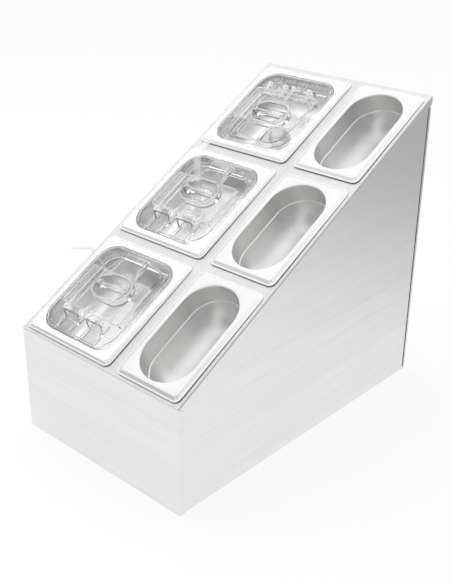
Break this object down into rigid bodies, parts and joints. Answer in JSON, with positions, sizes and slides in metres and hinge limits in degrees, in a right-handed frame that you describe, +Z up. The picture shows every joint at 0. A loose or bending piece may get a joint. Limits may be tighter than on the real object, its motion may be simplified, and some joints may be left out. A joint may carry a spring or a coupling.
{
  "type": "condiment caddy with flip lids",
  "caption": "Sloped stainless countertop caddy: folded stand holding drop-in food pans in two columns, one column with clear hinged flip lids and clear ladles.",
  "frame": {"origin": "middle of the fold along the bottom of the front panel, on the surface the stand stands on", "axes": "+Z up, +Y towards the high back of the stand, +X to the right of someone facing its front"},
  "size_m": [0.294, 0.492, 0.426],
  "materials": {
    "stand_sheet": "stainless sheet, brushed along the length of each face",
    "pan_sheet": "deep-drawn stainless sheet, satin inside with a brighter rim",
    "clear_lid": null,
    "clear_ladle": null
  },
  "bodies": {
    "stand": {"deck_panel": "stand_sheet", "front_panel": "stand_sheet", "back_panel": "stand_sheet", "left_side_panel": "stand_sheet", "right_side_panel": "stand_sheet", "left_rear_angle": "stand_sheet", "right_rear_angle": "stand_sheet"},
    "left_front_pan": {"left_front_pan": "pan_sheet"},
    "left_middle_pan": {"left_middle_pan": "pan_sheet"},
    "left_rear_pan": {"left_rear_pan": "pan_sheet"},
    "right_front_pan": {"right_front_pan": "pan_sheet"},
    "right_middle_pan": {"right_middle_pan": "pan_sheet"},
    "right_rear_pan": {"right_rear_pan": "pan_sheet"},
    "front_lid": {"front_lid_base": "clear_lid"},
    "front_flap": {"front_lid_flap": "clear_lid"},
    "front_ladle": {"front_ladle": "clear_ladle"},
    "middle_lid": {"middle_lid_base": "clear_lid"},
    "middle_flap": {"middle_lid_flap": "clear_lid"},
    "middle_ladle": {"middle_ladle": "clear_ladle"},
    "rear_lid": {"rear_lid_base": "clear_lid"},
    "rear_flap": {"rear_lid_flap": "clear_lid"},
    "rear_ladle": {"rear_ladle": "clear_ladle"}
  },
  "joints": [
    {"name": "left_front_pan_lift", "type": "slide", "parent": "stand", "child": "left_front_pan", "axis": [0, -0.4828, 0.8757], "range_m": [0, 0.09]},
    {"name": "left_middle_pan_lift", "type": "slide", "parent": "stand", "child": "left_middle_pan", "axis": [0, -0.4828, 0.8757], "range_m": [0, 0.09]},
    {"name": "left_rear_pan_lift", "type": "slide", "parent": "stand", "child": "left_rear_pan", "axis": [0, -0.4828, 0.8757], "range_m": [0, 0.09]},
    {"name": "right_front_pan_lift", "type": "slide", "parent": "stand", "child": "right_front_pan", "axis": [0, -0.4828, 0.8757], "range_m": [0, 0.09]},
    {"name": "right_middle_pan_lift", "type": "slide", "parent": "stand", "child": "right_middle_pan", "axis": [0, -0.4828, 0.8757], "range_m": [0, 0.09]},
    {"name": "right_rear_pan_lift", "type": "slide", "parent": "stand", "child": "right_rear_pan", "axis": [0, -0.4828, 0.8757], "range_m": [0, 0.09]},
    {"name": "front_lid_lift", "type": "slide", "parent": "left_front_pan", "child": "front_lid", "axis": [0, -0.4828, 0.8757], "range_m": [0, 0.08]},
    {"name": "front_flap_hinge", "type": "hinge", "parent": "front_lid", "child": "front_flap", "pos_m": [-0.0605, 0.03084, 0.18601], "axis": [1, 0, 0], "range_deg": [0, 105]},
    {"name": "front_ladle_lift", "type": "slide", "parent": "front_lid", "child": "front_ladle", "axis": [-0.5466, -0.2695, 0.7928], "range_m": [0, 0.03]},
    {"name": "middle_lid_lift", "type": "slide", "parent": "left_middle_pan", "child": "middle_lid", "axis": [0, -0.4828, 0.8757], "range_m": [0, 0.08]},
    {"name": "middle_flap_hinge", "type": "hinge", "parent": "middle_lid", "child": "middle_flap", "pos_m": [-0.0605, 0.19502, 0.27744], "axis": [1, 0, 0], "range_deg": [0, 105]},
    {"name": "middle_ladle_lift", "type": "slide", "parent": "middle_lid", "child": "middle_ladle", "axis": [0, 0.0036, 1], "range_m": [0, 0.03]},
    {"name": "rear_lid_lift", "type": "slide", "parent": "left_rear_pan", "child": "rear_lid", "axis": [0, -0.4828, 0.8757], "range_m": [0, 0.08]},
    {"name": "rear_flap_hinge", "type": "hinge", "parent": "rear_lid", "child": "rear_flap", "pos_m": [-0.0605, 0.43276, 0.40943], "axis": [-1, 0, 0], "range_deg": [0, 105]},
    {"name": "rear_ladle_lift", "type": "slide", "parent": "rear_lid", "child": "rear_ladle", "axis": [0.3303, -0.8731, 0.3586], "range_m": [0, 0.03]}
  ]
}
